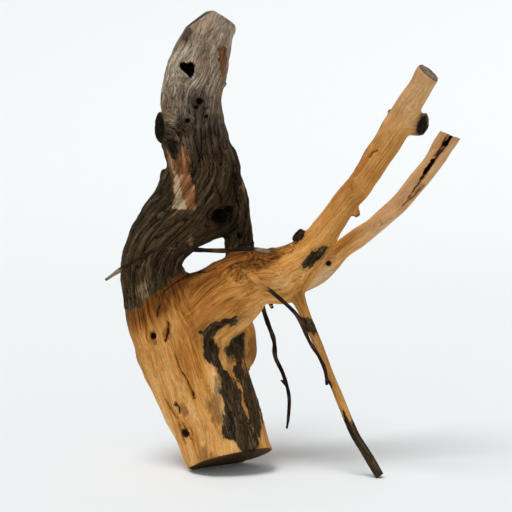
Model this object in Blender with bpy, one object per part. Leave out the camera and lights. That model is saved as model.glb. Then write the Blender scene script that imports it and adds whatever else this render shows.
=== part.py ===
"""A piece of driftwood: one forked trunk with a window in it, sawn branches and thin twigs.

It stands on the worn heel of its sawn stump and on the tip of its thin branch. The wood is one grown
piece, so it is one object. Its limbs are lofted along their piths, fused by a voxel remesh, thinned,
and then joined to the slender limbs and trimmed by the saw cuts, as a stack of modifiers.

Frame: +Z up, the floor at Z = 0, the origin under the middle of the bounding box, and -Y towards the
side with the bare, honey-coloured wood. Stations and cuts below are in millimetres, in axes whose
zero stands MIDDLE to one side of that origin.
"""

import math

import bmesh
import bpy
from mathutils import Vector

MM = 0.001
MIDDLE = Vector((2.4, 1.0, 0.0))
VOXEL = 1.7 * MM
FUSE_SMOOTHING = 10
THINNED_TO = 0.045
LOFT_STEP = 4.0
THICK_SIDES = 40
SLENDER_SIDES = 8
FLUTES = ((3, 0.024, 0.4), (5, 0.018, 2.1), (8, 0.012, 4.0))
SPIRAL_PER_MM = 0.004

WOOD_COLOUR = (0.42, 0.25, 0.12, 1.0)
WOOD_ROUGHNESS = 0.75

# A station is (x, y, z, half width across the limb, half depth towards Y), from the limb's root out.
STEM = (
    (-32.5, -5, -20.5, 36, 29),
    (-47, 2, 9.5, 38.5, 30),
    (-59.5, 9, 44, 41, 31),
    (-70.5, 15, 70.5, 44, 32),
    (-81.5, 19, 97, 46, 33),
    (-93.5, 20, 121.5, 44.5, 33),
    (-106, 18, 143.5, 38, 31),
    (-113, 15, 164, 31.5, 29),
    (-118, 12, 184.5, 27.5, 27),
    (-113, 13, 204.5, 27, 27),
    (-100.5, 15, 222, 30, 28),
    (-86.5, 17, 238, 32.5, 29),
    (-76.5, 18, 254.5, 36, 30),
    (-71.5, 19, 271.5, 34, 29),
    (-75.5, 19, 287, 29.5, 27),
    (-79, 18, 302, 29, 26),
    (-81, 17, 317.5, 27, 25.5),
    (-81.5, 16, 331.5, 26.5, 25),
    (-80.5, 15, 346.5, 26.5, 25),
    (-74, 13, 367, 25.5, 24.5),
    (-66.5, 11, 388.5, 22, 22),
    (-60.5, 9, 402.5, 19.5, 20),
    (-53, 7, 420, 13, 16),
)
BRIDGE_LEG = (
    (-56.5, 20, 261.5, 20.5, 17),
    (-46.5, 24, 245.5, 15, 15),
    (-42.5, 25, 232, 12, 14),
    (-40, 24, 217.5, 11.8, 14),
    (-39.5, 22, 206, 13, 14),
    (-38, 19, 194.5, 13.5, 15),
    (-32.5, 16, 180.5, 11, 12),
)
HUB_AND_LONG_BRANCH = (
    (-97.5, 20, 108, 22, 24),
    (-73, 17, 135, 30, 30),
    (-48, 13, 161, 32.5, 31),
    (-28, 11, 176, 26.5, 27),
    (-13.5, 10, 178, 24.5, 25),
    (0.5, 9, 180.5, 26, 24),
    (17, 7, 193.5, 19, 19),
    (26.5, 5, 204.5, 15.5, 15.5),
    (34.5, 3, 215, 13.8, 13.5),
    (44, -1, 230, 12.5, 12.5),
    (55, -6, 247, 11.5, 11.8),
    (67.5, -11, 263.5, 11.7, 11.5),
    (79.2, -16, 282.5, 11.9, 11.6),
    (89.5, -22, 299.5, 12, 11.8),
    (98.5, -28, 316, 12.2, 12),
    (106.5, -33, 331.5, 11.6, 11.4),
    (115.5, -38, 347, 10.8, 11),
    (122.5, -43, 360, 10.6, 11),
    (128.5, -47, 372, 10.6, 11),
)
SPLIT_BRANCH = (
    (-4.5, 17, 172, 16.5, 17),
    (16.5, 21, 174.5, 13, 13.5),
    (30, 26, 179.3, 12, 12),
    (42, 29, 188, 10.3, 10.4),
    (54, 32, 199, 8.5, 9),
    (68, 34, 209, 8.7, 8.7),
    (82, 37, 218.5, 8.1, 8.3),
    (94.5, 39, 229.5, 8.2, 8.3),
    (107, 41, 240.5, 8.4, 8.4),
    (118.5, 42, 254.5, 8.7, 8.6),
    (129.5, 43, 268, 8.9, 8.8),
    (139, 44, 281, 9, 9),
    (145, 45, 291.5, 9.6, 9.4),
    (151, 45.5, 300, 9.8, 9.6),
    (158, 46.5, 310.5, 10, 9.8),
)
REAR_LOBE = (
    (-46.5, 26, 162.5, 10, 12),
    (-41, 32, 141, 10.5, 13),
    (-37, 35, 119, 13, 16),
    (-37.5, 35, 102, 13.5, 15),
    (-44.5, 30, 85, 9.5, 12),
    (-55.5, 24, 68, 5.5, 8),
)
TRUNK_STUB = (
    (-86.5, 12, 309, 15.5, 15),
    (-99, 5, 311, 15, 14.5),
    (-107.5, 0, 312, 14, 13.5),
    (-117, -5, 313, 13, 12),
)
BRANCH_STUB = (
    (98.5, -28, 318.5, 10.5, 10),
    (110, -30, 317, 9.5, 9.5),
    (119, -31, 317, 9.3, 9),
    (123.5, -32, 317, 9, 8.7),
)
HUB_STUB = (
    (27.5, 5, 203.5, 8, 8),
    (19, 3, 211, 6.8, 7),
    (11, 2, 218, 6.3, 6.5),
    (5, 1, 223.5, 6, 6),
)
ARCH_WEB = (
    (-92, 15, 214, 14, 20),
    (-78, 18, 218, 13.5, 18),
    (-64, 20, 223, 12.5, 16),
    (-50, 23, 225, 11.5, 14),
)
CROTCH = (
    (-106, 16, 158, 10, 16),
    (-88, 17, 165.5, 11.5, 18),
    (-72, 16, 170, 12, 18),
    (-56, 15, 180, 12, 16),
)
BUD = (
    (55, -7, 247.5, 6.2, 6),
    (62.5, -6, 239, 4.7, 5),
    (66.5, -5.5, 234, 3.2, 3.5),
)
TOP_KNOB = (
    (-74, 8, 388.5, 7, 8),
    (-81.5, 2, 392, 5.7, 6.5),
    (-87, -1, 394.5, 4.5, 5),
)
THICK_LIMBS = (STEM, BRIDGE_LEG, HUB_AND_LONG_BRANCH, SPLIT_BRANCH, REAR_LOBE, TRUNK_STUB,
               BRANCH_STUB, HUB_STUB, ARCH_WEB, CROTCH, BUD, TOP_KNOB)

THIN_BRANCH = (
    (6, 4, 180.5, 11, 11),
    (11, 0, 165.5, 8, 8.5),
    (16, -3, 153.5, 5.5, 5.8),
    (23.2, -6, 136.5, 4.4, 4.6),
    (32.2, -9, 116, 4.2, 4.3),
    (40.5, -12, 94.5, 3.9, 4.1),
    (50, -15, 72, 4.1, 4.1),
    (57.5, -17.5, 53.5, 4.1, 4.1),
    (64.3, -19, 38, 4, 4.1),
    (73.8, -21, 23, 4.2, 4.1),
    (85.7, -23, 2.5, 4.1, 4.1),
    (91, -24, -7, 4.1, 4.1),
)
FRONT_LEFT_TWIG = (
    (5, 0, 195.5, 3, 3),
    (-6, -8, 201, 2.2, 2.2),
    (-21, -15, 205, 2, 2),
    (-36, -19, 206, 1.9, 1.9),
    (-54.5, -22, 205, 2, 2),
    (-80.5, -26, 206.5, 1.9, 1.9),
    (-98.5, -28, 208, 1.6, 1.6),
    (-111, -29, 207.5, 1.6, 1.6),
    (-121.5, -29, 201.5, 1.9, 1.8),
    (-139, -27, 191.5, 1.9, 1.8),
    (-148, -26, 185.5, 1.8, 1.7),
    (-156.5, -25, 179.5, 1.2, 1.3),
)
FRONT_RIGHT_TWIG = (
    (-38.5, -9, 188.5, 3.2, 3.2),
    (-34.5, -16, 186.5, 2.7, 2.7),
    (-28, -19, 181.5, 2.7, 2.7),
    (-21, -21.5, 176, 2.2, 2.2),
    (-9, -24, 167.5, 1.9, 1.9),
    (9.2, -24, 150.8, 1.9, 1.9),
    (16, -22, 139.5, 1.9, 1.8),
    (23.3, -21, 123, 1.7, 1.7),
    (31.5, -22, 110, 1.7, 1.7),
    (37, -23, 97.5, 1.6, 1.6),
    (38.5, -24, 85, 1.3, 1.3),
)
REAR_TWIG = (
    (-21, 21, 157.5, 3, 3),
    (-18, 26, 145.5, 2.4, 2.4),
    (-14, 28, 132.5, 2.2, 2.2),
    (-8, 30, 115, 2.1, 2.1),
    (-6.5, 31, 99, 2, 2),
    (0.5, 32, 83, 1.8, 1.8),
    (6, 32, 62.5, 1.7, 1.7),
    (5.5, 31, 42.5, 1.4, 1.4),
    (4, 30, 32, 1.1, 1.1),
)
SLENDER_LIMBS = {
    "thin_branch": THIN_BRANCH,
    "front_left_twig": FRONT_LEFT_TWIG,
    "front_right_twig": FRONT_RIGHT_TWIG,
    "rear_twig": REAR_TWIG,
}

# Each cut is (a point on its plane, the direction of the waste, half the cutter's width), in mm.
CUTS = {
    "stump_cut": ((-45, 6, 8.75), (0.25, -0.45, -1.0), 75),
    "trunk_top_cut": ((-56, 9, 408), (0.5, 0.15, 0.85), 45),
    "trunk_top_shoulder_cut": ((-73, 10, 409), (-0.58, -0.1, 0.81), 30),
    "long_branch_cut": ((123.3, -43.3, 361.2), (0.56, -0.33, 0.76), 18),
    "split_branch_cut": ((153, 45.5, 302.2), (0.35, 0.05, 0.93), 18),
    "thin_branch_cut": ((86.3, -23, 1.5), (0.55, -0.1, -0.83), 9),
    "trunk_stub_cut": ((-109.5, -1, 312), (-0.9, -0.4, 0.0), 24),
    "branch_stub_cut": ((117.5, -34.5, 314), (0.75, -0.6, -0.27), 15),
    "hub_stub_cut": ((11.5, 2, 217.5), (-0.75, -0.1, 0.65), 11),
    "floor_cut": ((0, 0, 0), (0, 0, -1), 260),
}
CUTTER_DEPTH = 40

# The heart-shaped beetle hole high on the trunk: its outline about its middle, in mm, as seen from -Y.
HEART_CENTRE = (-84.5, 363)
HEART_OUTLINE = ((-5.5, 5.5), (-3, 6.5), (0, 4), (3.5, 6), (6.5, 3.5), (6, -2), (3, -7.5),
                 (0, -4), (-5, 0), (-6.5, 3))
HEART_FROM_Y, HEART_TO_Y = -30, 6


def catmull_rom(before, start, end, after, t):
    """A point between start and end, at t from 0 to 1, on a smooth curve through all four."""
    return tuple(
        0.5 * (2 * b + (c - a) * t + (2 * a - 5 * b + 4 * c - d) * t ** 2
               + (3 * b - a - 3 * c + d) * t ** 3)
        for a, b, c, d in zip(before, start, end, after)
    )


def fine_stations(stations, step):
    """The stations and the smooth curve between them, about every step millimetres."""
    ends = (stations[0],) + tuple(stations) + (stations[-1],)
    found = []
    for i in range(1, len(ends) - 2):
        length = (Vector(ends[i + 1][:3]) - Vector(ends[i][:3])).length
        pieces = max(1, round(length / step))
        found += [catmull_rom(*ends[i - 1:i + 3], k / pieces) for k in range(pieces)]
    return found + [tuple(map(float, stations[-1]))]


def loft(bm, stations, sides, step, flutes=()):
    """Adds a closed limb to bm: a ring of sides points round each fine station, with flat ends."""
    fine = fine_stations(stations, step)
    rings = []
    travelled = 0.0
    for i, (x, y, z, half_width, half_depth) in enumerate(fine):
        behind, ahead = (Vector(fine[j][:3]) for j in (max(i - 1, 0), min(i + 1, len(fine) - 1)))
        travelled += (Vector((x, y, z)) - behind).length
        along = (ahead - behind).normalized()
        across = Vector((0, 1, 0)).cross(along).normalized()
        inwards = along.cross(across)
        ring = []
        for k in range(sides):
            angle = 2 * math.pi * k / sides
            swell = 1 + sum(height * math.cos(count * angle + phase + travelled * SPIRAL_PER_MM)
                            for count, height, phase in flutes)
            offset = (across * half_width * math.cos(angle)
                      + inwards * half_depth * math.sin(angle)) * swell
            ring.append(bm.verts.new((Vector((x, y, z)) - MIDDLE + offset) * MM))
        rings.append(ring)
    for ring, following in zip(rings, rings[1:]):
        for k in range(sides):
            j = (k + 1) % sides
            bm.faces.new((ring[k], ring[j], following[j], following[k]))
    bm.faces.new(reversed(rings[0]))
    bm.faces.new(rings[-1])


def new_object(name, bm):
    """bm as an object in the scene, with its faces pointing out."""
    bmesh.ops.recalc_face_normals(bm, faces=bm.faces)
    mesh = bpy.data.meshes.new(name)
    bm.to_mesh(mesh)
    bm.free()
    obj = bpy.data.objects.new(name, mesh)
    bpy.context.scene.collection.objects.link(obj)
    return obj


def helper(name, bm):
    """An object that only a Boolean uses."""
    obj = new_object(name, bm)
    obj.hide_render = True
    obj.display_type = "WIRE"
    return obj


def plane_cutter(name, point, waste_direction, half_width):
    """A block whose near face lies on the cut's plane and whose body takes the waste away."""
    bm = bmesh.new()
    bmesh.ops.create_cube(bm, size=1.0)
    for vert in bm.verts:
        vert.co = Vector((vert.co.x * 2 * half_width, vert.co.y * 2 * half_width,
                          (vert.co.z + 0.5) * CUTTER_DEPTH)) * MM
    turn = Vector(waste_direction).to_track_quat("Z", "Y")
    bmesh.ops.rotate(bm, verts=bm.verts, matrix=turn.to_matrix())
    bmesh.ops.translate(bm, verts=bm.verts, vec=(Vector(point) - MIDDLE) * MM)
    return helper(name, bm)


def heart_cutter():
    """A prism of the heart-shaped hole's outline, run into the trunk from its front."""
    bm = bmesh.new()
    centre = Vector((HEART_CENTRE[0], HEART_FROM_Y, HEART_CENTRE[1])) - MIDDLE
    outline = [bm.verts.new((centre + Vector((x, 0, z))) * MM) for x, z in HEART_OUTLINE]
    face = bm.faces.new(outline)
    made = bmesh.ops.extrude_face_region(bm, geom=[face])["geom"]
    moved = [v for v in made if isinstance(v, bmesh.types.BMVert)]
    bmesh.ops.translate(bm, verts=moved, vec=Vector((0, HEART_TO_Y - HEART_FROM_Y, 0)) * MM)
    return helper("heart_hole", bm)


def add_boolean(obj, other, operation):
    modifier = obj.modifiers.new(other.name, "BOOLEAN")
    modifier.operation = operation
    modifier.solver = "EXACT"
    modifier.object = other


def wood_material():
    material = bpy.data.materials.new("driftwood")
    material.use_nodes = True
    shader = material.node_tree.nodes["Principled BSDF"]
    shader.inputs["Base Color"].default_value = WOOD_COLOUR
    shader.inputs["Roughness"].default_value = WOOD_ROUGHNESS
    shader.inputs["Metallic"].default_value = 0.0
    return material


def driftwood():
    """The whole grown piece: thick limbs fused, slender limbs joined on, ends sawn."""
    bm = bmesh.new()
    for stations in THICK_LIMBS:
        loft(bm, stations, THICK_SIDES, LOFT_STEP, FLUTES)
    wood = new_object("driftwood", bm)
    wood.data.materials.append(wood_material())

    fuse = wood.modifiers.new("fuse_limbs", "REMESH")
    fuse.mode = "VOXEL"
    fuse.voxel_size = VOXEL
    collars = wood.modifiers.new("soften_forks", "SMOOTH")
    collars.factor = 0.5
    collars.iterations = FUSE_SMOOTHING
    thin = wood.modifiers.new("thin_faces", "DECIMATE")
    thin.ratio = THINNED_TO

    for name, stations in SLENDER_LIMBS.items():
        limb = bmesh.new()
        loft(limb, stations, SLENDER_SIDES, LOFT_STEP * 2)
        add_boolean(wood, helper(name, limb), "UNION")
    add_boolean(wood, heart_cutter(), "DIFFERENCE")
    for name, cut in CUTS.items():
        add_boolean(wood, plane_cutter(name, *cut), "DIFFERENCE")
    return wood


def main():
    for obj in list(bpy.data.objects):
        bpy.data.objects.remove(obj)
    driftwood()


main()
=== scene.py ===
"""Looks of the piece of driftwood: its bark, bare wood, cracks, saw cuts and twigs, in the part's frame.

The wood is grown again from the part's own stations, finely enough to carry bark. Fields over its surface
say which way the fibres run and what each place is made of. They push the surface in and out, and the
material reads them as attributes. Lengths in tables and fields are in millimetres.
"""

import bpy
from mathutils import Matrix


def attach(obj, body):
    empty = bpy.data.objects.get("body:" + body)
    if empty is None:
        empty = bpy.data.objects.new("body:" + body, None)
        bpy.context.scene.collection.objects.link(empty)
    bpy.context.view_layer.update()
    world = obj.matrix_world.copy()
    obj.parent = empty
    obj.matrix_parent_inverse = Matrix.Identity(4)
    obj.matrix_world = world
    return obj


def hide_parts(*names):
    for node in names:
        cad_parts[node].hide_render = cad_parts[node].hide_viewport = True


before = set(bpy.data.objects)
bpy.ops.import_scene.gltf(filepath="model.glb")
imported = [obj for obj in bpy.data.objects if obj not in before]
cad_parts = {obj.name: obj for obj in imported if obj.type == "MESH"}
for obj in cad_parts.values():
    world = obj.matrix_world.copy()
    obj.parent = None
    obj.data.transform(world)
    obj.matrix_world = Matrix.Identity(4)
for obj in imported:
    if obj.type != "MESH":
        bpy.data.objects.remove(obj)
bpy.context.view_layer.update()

import math

import bmesh
import bpy
import numpy as np
from mathutils import Vector

MM = 0.001
MIDDLE = np.array((2.4, 1.0, 0.0))
FUSE_VOXEL = 1.3
SKIN_VOXEL = 1.28
MOST_TRIANGLES = 190000
SPIRAL_PER_MM = 0.004
PITH_STEP = 2.0
LIMB_SIDES = 48
TWIG_STEP = 1.2
TWIG_SIDES = 12
TWIG_KNOBS = 0.22
BATCH = 40000
FLOW_CELL = 4.0
FLOW_MARGIN = 12
KNOT_LENGTH = 20
# Streaks drawn out along the fibres: (seed, size across the fibres, reach along them).
STREAKS = {"ridges": (11, 3.8, 52), "furrows": (12, 2.3, 22), "broad": (13, 10.0, 55)}
LUMP_SEED = 14
LUMP_SIZE = 14.0
SHARP_EDGE = 70
FLOOR_RADIUS = 1.3
WALL_RADIUS = 2.0
WALL_TOP = 60
STUDIO_SIDES = 96
VIEW_TARGET = (-26.8, 11, 195.5)
VIEW_DISTANCE = 1.5
VIEW_RISE = 8
VIEW_ANGLE = 17.46

# A station is (x, y, z, half width across the limb, half depth towards Y), from the limb's root out.
STEM = (
    (-32.5, -5, -20.5, 36, 29),
    (-47, 2, 9.5, 38.5, 30),
    (-59.5, 9, 44, 41, 31),
    (-70.5, 15, 70.5, 44, 32),
    (-81.5, 19, 97, 46, 33),
    (-93.5, 20, 121.5, 44.5, 33),
    (-106, 18, 143.5, 38, 31),
    (-113, 15, 164, 31.5, 29),
    (-118, 12, 184.5, 27.5, 27),
    (-113, 13, 204.5, 27, 27),
    (-100.5, 15, 222, 30, 28),
    (-86.5, 17, 238, 32.5, 29),
    (-76.5, 18, 254.5, 36, 30),
    (-71.5, 19, 271.5, 34, 29),
    (-75.5, 19, 287, 29.5, 27),
    (-79, 18, 302, 29, 26),
    (-81, 17, 317.5, 27, 25.5),
    (-81.5, 16, 331.5, 26.5, 25),
    (-80.5, 15, 346.5, 26.5, 25),
    (-74, 13, 367, 25.5, 24.5),
    (-66.5, 11, 388.5, 22, 22),
    (-60.5, 9, 402.5, 19.5, 20),
    (-53, 7, 420, 13, 16),
)
BRIDGE_LEG = (
    (-56.5, 20, 261.5, 20.5, 17),
    (-46.5, 24, 245.5, 15, 15),
    (-42.5, 25, 232, 12, 14),
    (-40, 24, 217.5, 11.8, 14),
    (-39.5, 22, 206, 13, 14),
    (-38, 19, 194.5, 13.5, 15),
    (-32.5, 16, 180.5, 11, 12),
)
HUB_AND_LONG_BRANCH = (
    (-97.5, 20, 108, 22, 24),
    (-73, 17, 135, 30, 30),
    (-48, 13, 161, 32.5, 31),
    (-28, 11, 176, 26.5, 27),
    (-13.5, 10, 178, 24.5, 25),
    (0.5, 9, 180.5, 26, 24),
    (17, 7, 193.5, 19, 19),
    (26.5, 5, 204.5, 15.5, 15.5),
    (34.5, 3, 215, 13.8, 13.5),
    (44, -1, 230, 12.5, 12.5),
    (55, -6, 247, 11.5, 11.8),
    (67.5, -11, 263.5, 11.7, 11.5),
    (79.2, -16, 282.5, 11.9, 11.6),
    (89.5, -22, 299.5, 12, 11.8),
    (98.5, -28, 316, 12.2, 12),
    (106.5, -33, 331.5, 11.6, 11.4),
    (115.5, -38, 347, 10.8, 11),
    (122.5, -43, 360, 10.6, 11),
    (128.5, -47, 372, 10.6, 11),
)
SPLIT_BRANCH = (
    (-4.5, 17, 172, 16.5, 17),
    (16.5, 21, 174.5, 13, 13.5),
    (30, 26, 179.3, 12, 12),
    (42, 29, 188, 10.3, 10.4),
    (54, 32, 199, 8.5, 9),
    (68, 34, 209, 8.7, 8.7),
    (82, 37, 218.5, 8.1, 8.3),
    (94.5, 39, 229.5, 8.2, 8.3),
    (107, 41, 240.5, 8.4, 8.4),
    (118.5, 42, 254.5, 8.7, 8.6),
    (129.5, 43, 268, 8.9, 8.8),
    (139, 44, 281, 9, 9),
    (145, 45, 291.5, 9.6, 9.4),
    (151, 45.5, 300, 9.8, 9.6),
    (158, 46.5, 310.5, 10, 9.8),
)
REAR_LOBE = (
    (-46.5, 26, 162.5, 10, 12),
    (-41, 32, 141, 10.5, 13),
    (-37, 35, 119, 13, 16),
    (-37.5, 35, 102, 13.5, 15),
    (-44.5, 30, 85, 9.5, 12),
    (-55.5, 24, 68, 5.5, 8),
)
TRUNK_STUB = (
    (-86.5, 12, 309, 15.5, 15),
    (-99, 5, 311, 15, 14.5),
    (-107.5, 0, 312, 14, 13.5),
    (-117, -5, 313, 13, 12),
)
BRANCH_STUB = (
    (98.5, -28, 318.5, 10.5, 10),
    (110, -30, 317, 9.5, 9.5),
    (119, -31, 317, 9.3, 9),
    (123.5, -32, 317, 9, 8.7),
)
HUB_STUB = (
    (27.5, 5, 203.5, 8, 8),
    (19, 3, 211, 6.8, 7),
    (11, 2, 218, 6.3, 6.5),
    (5, 1, 223.5, 6, 6),
)
ARCH_WEB = (
    (-92, 15, 214, 14, 20),
    (-78, 18, 218, 13.5, 18),
    (-64, 20, 223, 12.5, 16),
    (-50, 23, 225, 11.5, 14),
)
CROTCH = (
    (-106, 16, 158, 10, 16),
    (-88, 17, 165.5, 11.5, 18),
    (-72, 16, 170, 12, 18),
    (-56, 15, 180, 12, 16),
)
BUD = (
    (55, -7, 247.5, 6.2, 6),
    (62.5, -6, 239, 4.7, 5),
    (66.5, -5.5, 234, 3.2, 3.5),
)
TOP_KNOB = (
    (-74, 8, 388.5, 7, 8),
    (-81.5, 2, 392, 5.7, 6.5),
    (-87, -1, 394.5, 4.5, 5),
)
THIN_BRANCH = (
    (6, 4, 180.5, 11, 11),
    (11, 0, 165.5, 8, 8.5),
    (16, -3, 153.5, 5.5, 5.8),
    (23.2, -6, 136.5, 4.4, 4.6),
    (32.2, -9, 116, 4.2, 4.3),
    (40.5, -12, 94.5, 3.9, 4.1),
    (50, -15, 72, 4.1, 4.1),
    (57.5, -17.5, 53.5, 4.1, 4.1),
    (64.3, -19, 38, 4, 4.1),
    (73.8, -21, 23, 4.2, 4.1),
    (85.7, -23, 2.5, 4.1, 4.1),
    (91, -24, -7, 4.1, 4.1),
)
FRONT_LEFT_TWIG = (
    (5, 0, 195.5, 3, 3),
    (-6, -8, 201, 2.2, 2.2),
    (-21, -15, 205, 2, 2),
    (-36, -19, 206, 1.9, 1.9),
    (-54.5, -22, 205, 2, 2),
    (-80.5, -26, 206.5, 1.9, 1.9),
    (-98.5, -28, 208, 1.6, 1.6),
    (-111, -29, 207.5, 1.6, 1.6),
    (-121.5, -29, 201.5, 1.9, 1.8),
    (-139, -27, 191.5, 1.9, 1.8),
    (-148, -26, 185.5, 1.8, 1.7),
    (-156.5, -25, 179.5, 1.2, 1.3),
)
FRONT_RIGHT_TWIG = (
    (-38.5, -9, 188.5, 3.2, 3.2),
    (-34.5, -16, 186.5, 2.7, 2.7),
    (-28, -19, 181.5, 2.7, 2.7),
    (-21, -21.5, 176, 2.2, 2.2),
    (-9, -24, 167.5, 1.9, 1.9),
    (9.2, -24, 150.8, 1.9, 1.9),
    (16, -22, 139.5, 1.9, 1.8),
    (23.3, -21, 123, 1.7, 1.7),
    (31.5, -22, 110, 1.7, 1.7),
    (37, -23, 97.5, 1.6, 1.6),
    (38.5, -24, 85, 1.3, 1.3),
)
REAR_TWIG = (
    (-21, 21, 157.5, 3, 3),
    (-18, 26, 145.5, 2.4, 2.4),
    (-14, 28, 132.5, 2.2, 2.2),
    (-8, 30, 115, 2.1, 2.1),
    (-6.5, 31, 99, 2, 2),
    (0.5, 32, 83, 1.8, 1.8),
    (6, 32, 62.5, 1.7, 1.7),
    (5.5, 31, 42.5, 1.4, 1.4),
    (4, 30, 32, 1.1, 1.1),
)

# Small growths that only the finish has.
STUB_TONGUE = ((-108, 1, 316, 7, 6.5), (-103, -1, 303, 6.2, 6.5), (-96.5, 0, 291.5, 4.8, 6),
               (-91, 2, 282, 2.6, 4))
EDGE_KNOB = ((-60, 7, 341, 4, 4), (-57, 5, 341, 3, 3), (-55.2, 4, 341.5, 1.8, 1.8))
UPPER_EDGE_KNOB = ((-56, 10, 350, 4, 4), (-52.5, 8, 350, 2.6, 2.6), (-50.5, 8, 350.5, 1.6, 1.6))
BRANCH_KNOB = ((97, -25, 323, 3.6, 3.6), (92.5, -27, 326, 2.6, 2.6), (90, -28, 328, 1.4, 1.4))
BRANCH_NUB = ((92, -24, 310, 3.6, 3.6), (87, -27, 313.5, 2.5, 2.5), (84.8, -27.5, 315, 1.3, 1.3))
THICK_LIMBS = (STEM, BRIDGE_LEG, HUB_AND_LONG_BRANCH, SPLIT_BRANCH, REAR_LOBE, TRUNK_STUB,
               BRANCH_STUB, HUB_STUB, ARCH_WEB, CROTCH, BUD, TOP_KNOB, THIN_BRANCH, STUB_TONGUE,
               EDGE_KNOB, UPPER_EDGE_KNOB, BRANCH_KNOB, BRANCH_NUB)
TWIGS = (FRONT_LEFT_TWIG, FRONT_RIGHT_TWIG, REAR_TWIG)
# Limbs whose stations run against the growth of the limb that they spring from.
HANGING = (BRIDGE_LEG, REAR_LOBE, THIN_BRANCH, BUD, STUB_TONGUE)
FLUTES = ((3, 0.024, 0.4), (5, 0.018, 2.1), (8, 0.012, 4.0))

# Each saw cut is (a point on its plane, the direction of the waste, half the cutter's width).
SAW_CUTS = {
    "stump": ((-45, 6, 8.75), (0.25, -0.45, -1.0), 75),
    "trunk_top": ((-56, 9, 408), (0.5, 0.15, 0.85), 45),
    "trunk_shoulder": ((-73, 10, 409), (-0.58, -0.1, 0.81), 30),
    "long_branch": ((123.3, -43.3, 361.2), (0.56, -0.33, 0.76), 18),
    "split_branch": ((153, 45.5, 302.2), (0.35, 0.05, 0.93), 18),
    "thin_branch": ((86.3, -23, 1.5), (0.55, -0.1, -0.83), 9),
    "trunk_stub": ((-109.5, -1, 312), (-0.9, -0.4, 0.0), 24),
    "branch_stub": ((117.5, -34.5, 314), (0.75, -0.6, -0.27), 15),
    "hub_stub": ((11.5, 2, 217.5), (-0.75, -0.1, 0.65), 11),
    "floor": ((0, 0, 0), (0, 0, -1), 260),
}
DARK_CUTS = ("stump", "trunk_stub", "branch_stub", "hub_stub", "split_branch")
CUTTER_DEPTH = 40
HEART_CENTRE = (-84.5, 363)
HEART_OUTLINE = ((-5.5, 5.5), (-3, 6.5), (0, 4), (3.5, 6), (6.5, 3.5), (6, -2), (3, -7.5),
                 (0, -4), (-5, 0), (-6.5, 3))
HEART_Y = (-30, 6)


# ---------------------------------------------------------------- limbs

def catmull_rom(before, start, end, after, t):
    """A point on the smooth curve from start to end, at t from 0 to 1."""
    return 0.5 * (2 * start + (end - before) * t + (2 * before - 5 * start + 4 * end - after) * t ** 2
                  + (3 * start - before - 3 * end + after) * t ** 3)


class Limb:
    """A limb's pith, sampled evenly, with its girth, its direction and the axes across it."""

    def __init__(self, stations, step=PITH_STEP):
        knots = np.array([stations[0], *stations, stations[-1]], float)
        rows = []
        for i in range(1, len(knots) - 2):
            pieces = max(1, round(np.linalg.norm(knots[i + 1, :3] - knots[i, :3]) / step))
            rows += [catmull_rom(*knots[i - 1:i + 3], k / pieces) for k in range(pieces)]
        rows = np.array(rows + [knots[-1]])
        self.pith = rows[:, :3] - MIDDLE
        self.girth = rows[:, 3:]
        self.radius = np.sqrt(rows[:, 3] * rows[:, 4])
        ahead = np.roll(self.pith, -1, 0)
        behind = np.roll(self.pith, 1, 0)
        ahead[-1], behind[0] = self.pith[-1], self.pith[0]
        self.along = unit(ahead - behind)
        self.across = unit(np.cross((0, 1, 0), self.along))
        self.inwards = np.cross(self.along, self.across)
        gaps = np.linalg.norm(np.diff(self.pith, axis=0), axis=1)
        self.travelled = np.concatenate(([0], np.cumsum(gaps)))
        self.growth = -1 if stations in HANGING else 1

    def nearest(self, points):
        """For each point: its distance from the pith in radii, and the pith sample that is nearest."""
        best = np.full(len(points), np.inf)
        where = np.zeros(len(points), int)
        for start in range(0, len(points), BATCH):
            some = slice(start, start + BATCH)
            apart = ((points[some] ** 2).sum(1)[:, None] + (self.pith ** 2).sum(1)
                     - 2 * points[some] @ self.pith.T)
            scaled = apart / self.radius ** 2
            where[some] = scaled.argmin(1)
            best[some] = scaled.min(1)
        return np.sqrt(np.maximum(best, 0)), where

    def grain(self, points, where):
        """Coordinates that stay put along a fibre in x and y, and run along it in z."""
        offset = points - self.pith[where]
        turn = -SPIRAL_PER_MM * self.travelled[where]
        a = (offset * self.across[where]).sum(1) / self.radius[where]
        b = (offset * self.inwards[where]).sum(1) / self.radius[where]
        typical = self.radius.mean()
        along = self.travelled[where] + (offset * self.along[where]).sum(1)
        return np.stack((typical * (a * np.cos(turn) - b * np.sin(turn)),
                         typical * (a * np.sin(turn) + b * np.cos(turn)), along), 1)


def unit(vectors):
    """The same directions with a length of 1."""
    return vectors / np.maximum(np.linalg.norm(vectors, axis=-1, keepdims=True), 1e-9)


def loft(limb, sides, flutes=(), knobs=0.0, seed=0):
    """The limb's skin as a closed tube of rings, in metres: its vertices and its faces."""
    angle = np.linspace(0, 2 * np.pi, sides, endpoint=False)
    swell = np.ones((len(limb.pith), sides))
    for count, height, phase in flutes:
        swell += height * np.cos(count * angle + phase + limb.travelled[:, None] * SPIRAL_PER_MM)
    if knobs:
        swell += knobs * Lattice(seed)(limb.pith, 7.0)[:, None]
    offset = (limb.across[:, None] * (limb.girth[:, :1] * np.cos(angle))[..., None]
              + limb.inwards[:, None] * (limb.girth[:, 1:] * np.sin(angle))[..., None])
    rings = (limb.pith[:, None] + offset * swell[..., None]) * MM
    ring = np.arange(sides)
    beside = (ring + 1) % sides
    starts = np.arange(len(limb.pith) - 1)[:, None] * sides
    walls = np.stack((starts + ring, starts + beside, starts + sides + beside, starts + sides + ring), -1)
    last = (len(limb.pith) - 1) * sides
    faces = walls.reshape(-1, 4).tolist() + [ring[::-1].tolist(), (last + ring).tolist()]
    return rings.reshape(-1, 3), faces


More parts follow.
